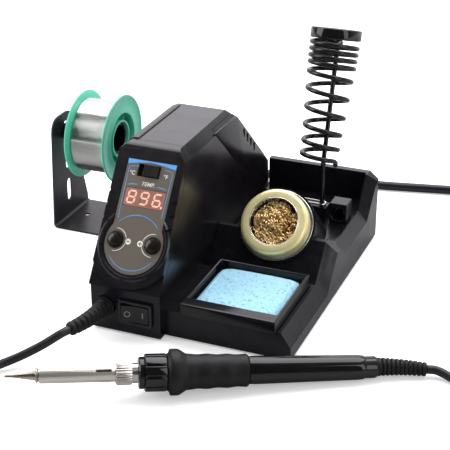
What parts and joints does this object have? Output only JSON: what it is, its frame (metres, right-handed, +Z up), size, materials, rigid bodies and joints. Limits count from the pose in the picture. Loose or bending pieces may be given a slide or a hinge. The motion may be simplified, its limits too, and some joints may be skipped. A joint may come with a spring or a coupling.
{
  "type": "soldering iron station",
  "caption": "Soldering station with temperature unit, spring iron holder, wire wool cleaner, sponge tray, solder spool, pencil iron and mains lead.",
  "frame": {"origin": "centre of the station's and its iron's box on the table, without the free cords", "axes": "+Z up; the control panel and the sponge tray face -Y; the solder spool is at -X"},
  "size_m": [0.4059, 0.4655, 0.1513],
  "materials": {
    "barrel_steel": "heat tinted",
    "black_enamel": "black enamel",
    "black_plastic": "fine satin grain",
    "board_green": "glass fibre board with solder mask",
    "brass_wire": "curly drawn wire",
    "ceramic": "white",
    "cord_rubber": "satin",
    "display_grey": "satin",
    "gloss_black": "polished",
    "gold_plate": "gold anodised",
    "lens_red": "tinted lens",
    "mains_pvc": "satin",
    "panel_film": "printed film, satin",
    "plug_pvc": "satin",
    "sink_alloy": "extruded",
    "soft_rubber": "matt",
    "solder_core": "bright solder",
    "solder_wire": "bright solder",
    "sponge_blue": "damp cellulose sponge",
    "spool_green": "moulded",
    "steel": "bright nickel",
    "tip_plate": "iron plated"
  },
  "bodies": {
    "station": {"base_plate": "black_plastic", "base_screw_back_right": "steel", "base_screw_front_left": "steel", "base_shell": "black_plastic", "bracket_screw_back": "steel", "bracket_screw_front": "steel", "control_board": "board_green", "display_board": "board_green", "foot_back_left": "soft_rubber", "foot_back_right": "soft_rubber", "foot_front_left": "soft_rubber", "foot_front_right": "soft_rubber", "front_bezel": "black_plastic", "heat_sink": "sink_alloy", "holder_clip": "steel", "housing_body": "black_plastic", "iron_barrel": "barrel_steel", "iron_collar": "steel", "iron_cord_coil": "cord_rubber", "iron_cord_left": "cord_rubber", "iron_cord_outlet": "soft_rubber", "iron_cord_right": "cord_rubber", "iron_grip": "soft_rubber", "iron_handle": "gloss_black", "iron_heater": "ceramic", "iron_relief": "soft_rubber", "iron_sleeve": "gloss_black", "iron_tip": "tip_plate", "led_display": "display_grey", "led_window": "lens_red", "left_cheek": "black_plastic", "mains_coil": "mains_pvc", "mains_cord": "mains_pvc", "mains_outlet": "soft_rubber", "mains_plug": "plug_pvc", "mains_tail": "mains_pvc", "panel_overlay": "panel_film", "power_frame": "black_plastic", "rear_cover": "black_plastic", "rod_bolt": "steel", "socket_clip": "steel", "spare_socket": "black_plastic", "spool_bracket": "black_enamel", "spool_rod": "black_plastic", "unit_switch": "steel"},
    "holder": {"holder_wire": "gloss_black", "holder_collar": "gloss_black"},
    "reel": {"spool": "spool_green", "solder_core": "solder_core", "solder_winding": "solder_wire"},
    "cleaner": {"cleaner_cup": "steel", "brass_wool": "brass_wire"},
    "ring": {"cleaner_lid": "gold_plate"},
    "tray": {"sponge_tray": "gloss_black", "sponge": "sponge_blue"},
    "slider": {"unit_slider": "gloss_black"},
    "minus": {"minus_button": "gloss_black"},
    "plus": {"plus_button": "gloss_black"},
    "rocker": {"power_rocker": "gloss_black"},
    "nut": {"iron_nut": "steel"}
  },
  "joints": [
    {"name": "holder_turn", "type": "hinge", "parent": "station", "child": "holder", "pos_m": [0.04173, 0.07798, 0.027], "axis": [0, 0, 1], "range_deg": [-90, 90]},
    {"name": "spool_spin", "type": "hinge", "parent": "station", "child": "reel", "pos_m": [-0.12327, 0.07148, 0.063], "axis": [1, 0, 0], "continuous": true},
    {"name": "cleaner_pull", "type": "slide", "parent": "station", "child": "cleaner", "axis": [0, -0.7431, 0.6691], "range_m": [0, 0.026]},
    {"name": "ring_pull", "type": "slide", "parent": "cleaner", "child": "ring", "axis": [0, -0.7431, 0.6691], "range_m": [0, 0.012]},
    {"name": "tray_lift", "type": "slide", "parent": "station", "child": "tray", "axis": [0, 0, 1], "range_m": [0, 0.01]},
    {"name": "unit_slide", "type": "slide", "parent": "station", "child": "slider", "axis": [1, 0, 0], "range_m": [-0.0034, 0]},
    {"name": "minus_press", "type": "slide", "parent": "station", "child": "minus", "axis": [0, 0.809, -0.5878], "range_m": [0, 0.001], "stiffness_N_per_m": 200, "springref_m": -0.0015},
    {"name": "plus_press", "type": "slide", "parent": "station", "child": "plus", "axis": [0, 0.809, -0.5878], "range_m": [0, 0.001], "stiffness_N_per_m": 200, "springref_m": -0.0015},
    {"name": "power_rock", "type": "hinge", "parent": "station", "child": "rocker", "pos_m": [-0.02377, -0.05922, 0.0158], "axis": [0, 0, 1], "range_deg": [-14, 0]},
    {"name": "nut_turn", "type": "hinge", "parent": "station", "child": "nut", "pos_m": [-0.05718, -0.14846, 0.0177], "axis": [0.8655, 0.4977, -0.0576], "continuous": true}
  ]
}
